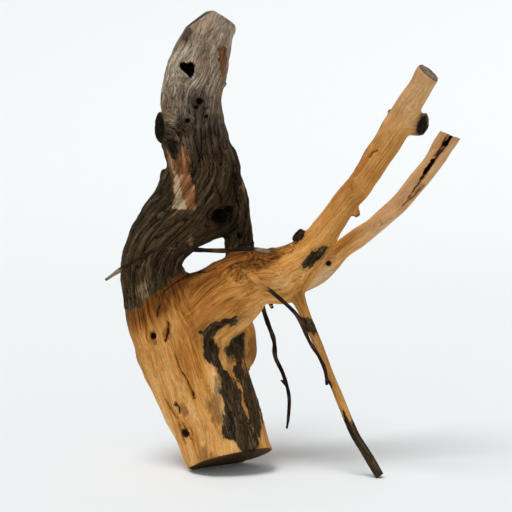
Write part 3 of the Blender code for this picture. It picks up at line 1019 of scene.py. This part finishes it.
class Shop:
    """A material's node tree, with one way to add any node."""

    def __init__(self, name):
        self.material = bpy.data.materials.new(name)
        self.material.use_nodes = True
        self.tree = self.material.node_tree
        self.shader = self.tree.nodes["Principled BSDF"]

    def node(self, kind, settings=None, inputs=None, output=0):
        """Any node: its settings first, then its sockets' values or links; gives one of its outputs."""
        node = self.tree.nodes.new(kind)
        for key, value in (settings or {}).items():
            if key == "stops":
                self.set_stops(node.color_ramp, value)
            else:
                setattr(node, key, value)
        for key, value in (inputs or {}).items():
            self.feed(node.inputs[key], value)
        return Wire(self, node.outputs[output])

    def set_stops(self, colour_ramp, stops):
        while len(colour_ramp.elements) < len(stops):
            colour_ramp.elements.new(1.0)
        for element, (position, colour) in zip(colour_ramp.elements, stops):
            element.position = position
            element.color = (*colour, 1.0)

    def feed(self, socket, value):
        if isinstance(value, Wire):
            self.tree.links.new(value.socket, socket)
        elif isinstance(value, tuple) and len(value) == 3 and socket.type == "RGBA":
            socket.default_value = (*value, 1.0)
        else:
            socket.default_value = value

    def field(self, name, output="Fac"):
        return self.node("ShaderNodeAttribute", {"attribute_name": name}, output=output)

    def up(self, place):
        return self.node("ShaderNodeSeparateXYZ", {}, {0: place}, output=2)

    def noise(self, vector, scale, detail=2.0, roughness=0.5):
        return self.node("ShaderNodeTexNoise", {}, {"Vector": vector, "Scale": scale, "Detail": detail,
                                                    "Roughness": roughness})

    def step(self, value, low, high):
        """0 at low, 1 at high and smooth between them."""
        return self.node("ShaderNodeMapRange", {"interpolation_type": "SMOOTHSTEP"},
                         {"Value": value, "From Min": low, "From Max": high})

    def blend(self, factor, below, above, kind="MIX"):
        """A colour that goes from below to above as the factor goes from 0 to 1."""
        return self.node("ShaderNodeMix", {"data_type": "RGBA", "blend_type": kind},
                         {"Factor": factor, 6: below, 7: above}, output=2)

    def between(self, factor, below, above):
        """A number that goes from below to above as the factor goes from 0 to 1."""
        return self.node("ShaderNodeMix", {"data_type": "FLOAT"}, {"Factor": factor, 2: below, 3: above})

    def colours(self, factor, *stops):
        return self.node("ShaderNodeValToRGB", {"stops": stops}, {"Fac": factor})


def shade(red, green, blue):
    """A colour given as 0 to 255 on a screen, as the light that it stands for."""
    return tuple((part / 255 / 12.92) if part < 10.3 else ((part / 255 + 0.055) / 1.055) ** 2.4
                 for part in (red, green, blue))


# ---------------------------------------------------------------- the wood's finish

class Fibres:
    """Noise drawn out along the fibres, read in two sets of fibre coordinates that cross-fade at forks."""

    def __init__(self, shop):
        self.shop = shop
        self.lean = shop.field("fibre_lean")
        self.clear = shop.field("fibre_clear")
        self.sets = [shop.field(name, "Vector") for name in ("fibre_a", "fibre_b")]

    def __call__(self, across, along, detail=2.0, roughness=0.55):
        """Noise about 0.5 with features of these sizes in millimetres."""
        stretched = [c.scaled(1 / across, 1 / across, 1 / along) for c in self.sets]
        first, second = [self.shop.noise(c, 1000.0, detail, roughness) for c in stretched]
        mixed = self.shop.between(self.lean, first, second)
        return 0.5 + (mixed - 0.5) * self.clear


def driftwood_finish():
    """Honey-coloured bare wood, fissured grey bark, worn patches, dark twigs and sawn ends."""
    shop = Shop("driftwood")
    here = shop.node("ShaderNodeTexCoord", output="Object")
    fibres = Fibres(shop)
    hair = fibres(0.6, 20.0, 3.0)
    streak = fibres(2.2, 55.0, 3.0)
    speck = shop.noise(here, 900.0, 2.0)
    blotch = shop.noise(here, 30.0, 3.0)
    wood, wood_height = bare_wood(shop, fibres, here, hair, streak, blotch)
    rind, rind_height = bark(shop, fibres, here, hair, streak, speck, blotch)
    torn = fibres(1.3, 7.0, 3.0)
    ragged = (shop.noise(here, 420.0, 3.0) - 0.5) * 3.0 + (hair - 0.5) * 3.5 + (torn - 0.5) * 6.0
    covered = shop.step(shop.field("cover") + ragged, -0.4, 0.4)
    colour = shop.blend(covered, stained_and_shaded(shop, wood, ragged, torn, streak), rind)
    colour = shop.blend(shop.step(shop.field("worn") + ragged * 0.7, -0.4, 0.4), colour,
                        worn_wood(shop, hair, streak, speck))
    flaky = shop.step(shop.field("scaly") + ragged * 1.5, -0.8, 0.8) * shop.step(speck, 0.42, 0.6)
    colour = shop.blend(flaky * 0.8, colour, shade(204, 192, 168))
    colour = shop.blend(shop.field("sawn") * 0.9, colour, sawn_ends(shop, here))
    # Painted shade in the hollows, then in the cracks and holes.
    colour = painted_hollow_shade(shop, colour)
    colour = painted_crack_and_hole_shade(shop, colour, covered, hair)

    height = shop.between(covered, wood_height, rind_height)
    bump = shop.node("ShaderNodeBump", {}, {"Strength": 1.0, "Distance": 0.001, "Height": height},
                     output="Normal")
    shop.feed(shop.shader.inputs["Base Color"], colour)
    shop.feed(shop.shader.inputs["Normal"], bump)
    shop.feed(shop.shader.inputs["Roughness"], shop.between(covered, 0.55 + (hair - 0.5) * 0.3, 0.85))
    shop.shader.inputs["Specular IOR Level"].default_value = 0.04
    return shop.material


def thin_lines(shop, value, outer, inner):
    """1 along the lines where a value crosses zero."""
    return shop.step(abs(value), outer, inner)


def stained_and_shaded(shop, wood, ragged, torn, streak):
    """Bare wood darker along the bark's edges, and drawn-out stains, some of them painted shade round holes
    and cracks and under the bulge.
    """
    # Bare wood darker within a few millimetres of the bark's edge.
    darker_by_bark_edge = shop.step(shop.field("cover") + ragged * 1.2 + (streak - 0.5) * 8.0, -5.0, 0.8)
    wood = shop.blend(darker_by_bark_edge * 0.55, wood, shade(104, 76, 38))
    # Stains, partly real and partly painted shade round holes and cracks and under the bulge.
    stain = shop.step(shop.field("stain") + (torn - 0.5) * 1.4 + (streak - 0.5) * 2.2, 0.15, 1.0)
    stain = stain * shop.step(shop.field("stain"), 0.02, 0.4)
    return shop.blend(stain * 0.65, wood, shade(92, 64, 32))


def painted_hollow_shade(shop, colour):
    """Painted shade: brown and darker down in the grooves and in the broad hollows."""
    sunk = shop.step(shop.field("near_hollow"), 0.05, 0.7)
    sunk_wide = shop.step(shop.field("broad_hollow"), 0.1, 2.6)
    shadow = 1.0 - (1.0 - sunk * 0.5) * (1.0 - sunk_wide * 0.45)
    return shop.blend(shadow, colour, shop.blend(1.0, colour, shade(120, 84, 58), "MULTIPLY"))


def painted_crack_and_hole_shade(shop, colour, covered, hair):
    """Painted shade down in the cracks and holes, with a reddish edge where the wood is bare that is partly
    the wood's own tone and partly painted shade.
    """
    crack = abs(shop.field("crack_side")) - shop.field("crack_width") + (hair - 0.5) * 0.8
    bare = 1.0 - covered
    # Painted shade in the cracks: a reddish edge, partly the wood's own tone, and a dark core.
    colour = shop.blend(shop.step(crack, 1.6, 0.1) * bare * 0.5, colour, shade(122, 62, 22))
    colour = shop.blend(shop.step(crack, 0.25, -0.25) * 0.9, colour, shade(36, 18, 9))
    # Painted shade in the holes, the heart hole and the split branch's cleft, with reddish-brown painted
    # shade round them where the wood is bare.
    hollow = shop.field("hollow")
    colour = shop.blend(shop.step(hollow, 0.01, 0.4) * bare * 0.8, colour, shade(74, 40, 17))
    return shop.blend(shop.step(hollow, 0.3, 0.75) * 0.96, colour, shade(16, 11, 8))


def bare_wood(shop, fibres, here, hair, streak, blotch):
    """Honey wood: soft bands, dark fibres and short pores; dark and red under the bark's edge, partly the
    wood's own tone and partly painted shade under the trunk's overhang.
    """
    broad, furrows, ridges = shop.field("broad"), shop.field("furrows"), shop.field("ridges")
    # Painted shade under the trunk's overhang: bare wood just below the trunk's bark is darker and redder,
    # partly its own tone.
    overhang_shade = shop.step(shop.field("trunk_cover") + (blotch - 0.5) * 18.0, -32.0, -3.0)
    up = shop.up(here)
    tone = 0.5 + broad * 0.06 + (streak - 0.5) * 0.8 + (hair - 0.5) * 0.7 + ridges * 0.04
    tone = tone - overhang_shade * 0.37 + shop.step(up, 0.15, 0.06) * 0.1 - shop.field("thin") * 0.08
    tone = tone + shop.field("bleached") * 0.12 + (blotch - 0.5) * 0.25
    base = shop.colours(tone, (0.0, shade(70, 34, 9)), (0.25, shade(138, 84, 30)),
                        (0.5, shade(204, 140, 67)), (0.75, shade(235, 180, 110)),
                        (1.0, shade(246, 211, 160)))
    bleached = shop.blend(streak, shade(180, 138, 100), shade(230, 202, 166))
    base = shop.blend(shop.field("bleached") * 0.6, base, bleached)
    red = shop.step(shop.noise(here, 22.0, 3.0), 0.54, 0.7)
    base = shop.blend(red * 0.4, base, shade(150, 84, 34))
    pores = shop.step(fibres(0.8, 7.0, 1.0), 0.66, 0.74)
    base = shop.blend(pores * 0.5, base, shade(92, 52, 22))
    lines = thin_lines(shop, furrows, 0.16, 0.03) * shop.step(blotch, 0.35, 0.6)
    base = shop.blend(lines * 0.4, base, shade(104, 58, 22))
    swirl = shop.field("swirl")
    curls = shop.noise(here, 190.0, 4.0, 0.65) - 0.5
    curl_lines = thin_lines(shop, curls, 0.03, 0.008)
    base = shop.blend(swirl * curl_lines * 0.6, base, shade(96, 44, 14))
    base = shop.blend(swirl * shop.step(curls, 0.05, 0.12) * 0.3, base, shade(212, 160, 104))
    height = (hair - 0.5) * 0.45 + (streak - 0.5) * 0.4 - pores * 0.12 - lines * 0.15
    return base, height + swirl * (curls * 1.8 - curl_lines * 0.4)


def bark(shop, fibres, here, hair, streak, speck, blotch):
    """Weathered bark: dark brown and deeply fissured low down, grey and finely cracked up the trunk."""
    ridges, furrows = shop.field("ridges"), shop.field("furrows")
    up = shop.up(here)
    aged = shop.step(up + (blotch - 0.5) * 0.07, 0.28, 0.375)
    twisted = fibres(1.6, 13.0, 4.0, 0.65)
    light = 0.44 + (hair - 0.5) * 0.9 + (streak - 0.5) * 0.6 + (twisted - 0.5) * 0.4 + furrows * 0.08
    low = shop.colours(light, (0.0, shade(28, 21, 14)), (0.4, shade(68, 55, 38)),
                       (0.7, shade(104, 87, 62)), (1.0, shade(152, 132, 100)))
    high = shop.colours(light, (0.0, shade(94, 79, 64)), (0.35, shade(174, 153, 130)),
                        (0.65, shade(216, 196, 172)), (1.0, shade(240, 226, 206)))
    crown = shop.step(up + (blotch - 0.5) * 0.03, 0.372, 0.41)
    high = shop.blend(crown * 0.4, high, shade(228, 206, 178))
    base = shop.blend(aged, low, high)
    brown = shop.step(shop.noise(here, 45.0, 3.0), 0.5, 0.66)
    base = shop.blend(brown * 0.4, base, shade(88, 66, 42))
    base = shop.blend(shop.field("dark_spot") * 0.6, base, shade(30, 23, 17))
    pale = shop.step(shop.field("pale_spot") + (twisted - 0.5) * 2.4 + (hair - 0.5) * 1.6, 0.45, 0.8)
    base = shop.blend(pale * 0.65, base, shade(176, 140, 104))
    fissure = thin_lines(shop, ridges, 0.26, 0.03)
    fine = thin_lines(shop, furrows, 0.28, 0.04)
    slits = thin_lines(shop, twisted - 0.5, 0.028, 0.006)
    dark = shade(20, 15, 11)
    base = shop.blend(fissure * (0.7 - aged * 0.45), base, dark)
    base = shop.blend(fine * (0.5 - aged * 0.2), base, dark)
    base = shop.blend(slits * 0.5, base, dark)
    base = shop.blend(shop.step(speck, 0.68, 0.76) * 0.3, base, shade(176, 162, 142))
    base = shop.blend(shop.step(shop.field("twig"), 0.4, 0.6), base, twig_skin(shop, here, hair))
    height = (hair - 0.5) * 0.6 + (twisted - 0.5) * 0.9 - slits * 0.5 - fine * 0.4 - fissure * 0.5
    return base, height + (speck - 0.5) * 0.15


def twig_skin(shop, here, hair):
    """Brown to nearly black twigs, straw-coloured where they are bare."""
    tone = shop.noise(here, 70.0, 3.0) * 0.6 + hair * 0.4
    skin = shop.colours(tone, (0.36, shade(26, 20, 17)), (0.5, shade(50, 38, 31)),
                        (0.6, shade(92, 66, 47)), (0.72, shade(140, 122, 102)))
    straw = shop.blend(hair, shade(120, 96, 70), shade(196, 178, 152))
    return shop.blend(shop.field("twig_pale"), skin, straw)


def worn_wood(shop, hair, streak, speck):
    """Where bark has rubbed off lately: dull orange, and chalky with dark specks beside it."""
    tone = hair * 0.6 + streak * 0.4 + shop.field("furrows") * 0.05
    orange = shop.colours(tone, (0.34, shade(62, 38, 22)), (0.48, shade(114, 72, 43)),
                          (0.6, shade(156, 106, 69)), (0.72, shade(192, 152, 112)))
    chalk = shop.blend(shop.step(tone, 0.4, 0.6), shade(116, 92, 68), shade(190, 166, 134))
    chalk = shop.blend(shop.step(speck, 0.62, 0.7), chalk, shade(58, 42, 30))
    return shop.blend(shop.step(shop.field("pale_worn") + (hair - 0.5) * 3.0, -0.6, 0.6), orange, chalk)


def sawn_ends(shop, here):
    """Grey sawn faces with a dark rim; those that have stood wet are nearly black."""
    rays = shop.noise(here, 330.0, 4.0, 0.6)
    grey = shop.colours(rays, (0.3, shade(62, 54, 46)), (0.5, shade(116, 104, 90)),
                        (0.7, shade(166, 154, 138)))
    grey = shop.blend(shop.step(shop.field("rim"), 0.76, 0.92) * 0.75, grey, shade(44, 37, 31))
    black = shop.colours(rays, (0.3, shade(10, 8, 7)), (0.55, shade(26, 21, 17)), (0.75, shade(58, 47, 38)))
    return shop.blend(shop.field("dark_cut"), grey, black)


# ---------------------------------------------------------------- studio

def studio():
    """A pale floor that curves up into a low wall, a broad light from above and a weaker one in front."""
    sweep = np.radians(np.arange(0, WALL_TOP + 1, 4))
    profile = [(FLOOR_RADIUS + WALL_RADIUS * math.sin(a), WALL_RADIUS - WALL_RADIUS * math.cos(a))
               for a in sweep]
    around = np.linspace(0, 2 * math.pi, STUDIO_SIDES, endpoint=False)
    vertices = [(0, 0, 0)] + [(r * math.cos(a), r * math.sin(a), h) for r, h in profile for a in around]
    faces = [(0, 1 + k, 1 + (k + 1) % STUDIO_SIDES) for k in range(STUDIO_SIDES)]
    for i in range(len(profile) - 1):
        for k in range(STUDIO_SIDES):
            a, b = 1 + i * STUDIO_SIDES + k, 1 + i * STUDIO_SIDES + (k + 1) % STUDIO_SIDES
            faces.append((a, a + STUDIO_SIDES, b + STUDIO_SIDES, b))
    mesh = bpy.data.meshes.new("backdrop")
    mesh.from_pydata(vertices, [], faces)
    mesh.polygons.foreach_set("use_smooth", [True] * len(faces))
    backdrop = bpy.data.objects.new("backdrop", mesh)
    bpy.context.scene.collection.objects.link(backdrop)
    paper = Shop("pale_paper")
    paper.shader.inputs["Base Color"].default_value = (*shade(236, 239, 240), 1)
    paper.shader.inputs["Roughness"].default_value = 0.9
    paper.shader.inputs["Specular IOR Level"].default_value = 0.1
    mesh.materials.append(paper.material)

    add_light("overhead", (-0.35, -0.4, 1.5), 26, 2.05)
    add_light("front", (-0.5, -1.6, 0.7), 50, 0.3)
    world = bpy.data.worlds.new("studio")
    world.use_nodes = True
    air = world.node_tree.nodes["Background"]
    air.inputs["Color"].default_value = (0.98, 0.99, 1.0, 1)
    air.inputs["Strength"].default_value = 0.36
    bpy.context.scene.world = world
    bpy.context.scene.view_settings.view_transform = "Standard"


def add_light(name, towards, spread, strength):
    """A soft far light that shines from a direction, with its spread in degrees."""
    light = bpy.data.lights.new(name, "SUN")
    light.angle = math.radians(spread)
    light.energy = strength
    lamp = bpy.data.objects.new(name, light)
    lamp.location = Vector(towards)
    lamp.rotation_euler = Vector(towards).to_track_quat("Z", "Y").to_euler()
    bpy.context.scene.collection.objects.link(lamp)


def camera():
    """Eight degrees above the horizon, on the side with the bare wood."""
    tilt = math.radians(VIEW_RISE)
    back = Vector((0, -math.cos(tilt), math.sin(tilt)))
    lens = bpy.data.cameras.new("camera")
    lens.sensor_width = 36
    lens.angle = math.radians(VIEW_ANGLE)
    lens.clip_start = 0.01
    eye = bpy.data.objects.new("camera", lens)
    eye.location = Vector(VIEW_TARGET) * MM + VIEW_DISTANCE * back
    eye.rotation_euler = (math.pi / 2 - tilt, 0, 0)
    bpy.context.scene.collection.objects.link(eye)
    bpy.context.scene.camera = eye


def thin_out(wood):
    """Merges the least needed points, so that the piece keeps to its number of triangles."""
    triangles = sum(len(p.vertices) - 2 for p in wood.data.polygons)
    if triangles > MOST_TRIANGLES:
        modifier = wood.modifiers.new("thin_out", "DECIMATE")
        modifier.ratio = MOST_TRIANGLES / triangles
        settle(wood)


def main():
    wood = grown_wood()
    carve(wood)
    thin_out(wood)
    wood.data.materials.clear()
    wood.data.materials.append(driftwood_finish())
    wood.data.shade_smooth()
    wood.data.set_sharp_from_angle(angle=math.radians(SHARP_EDGE))
    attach(wood, "root")
    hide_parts("driftwood")
    studio()
    camera()


main()
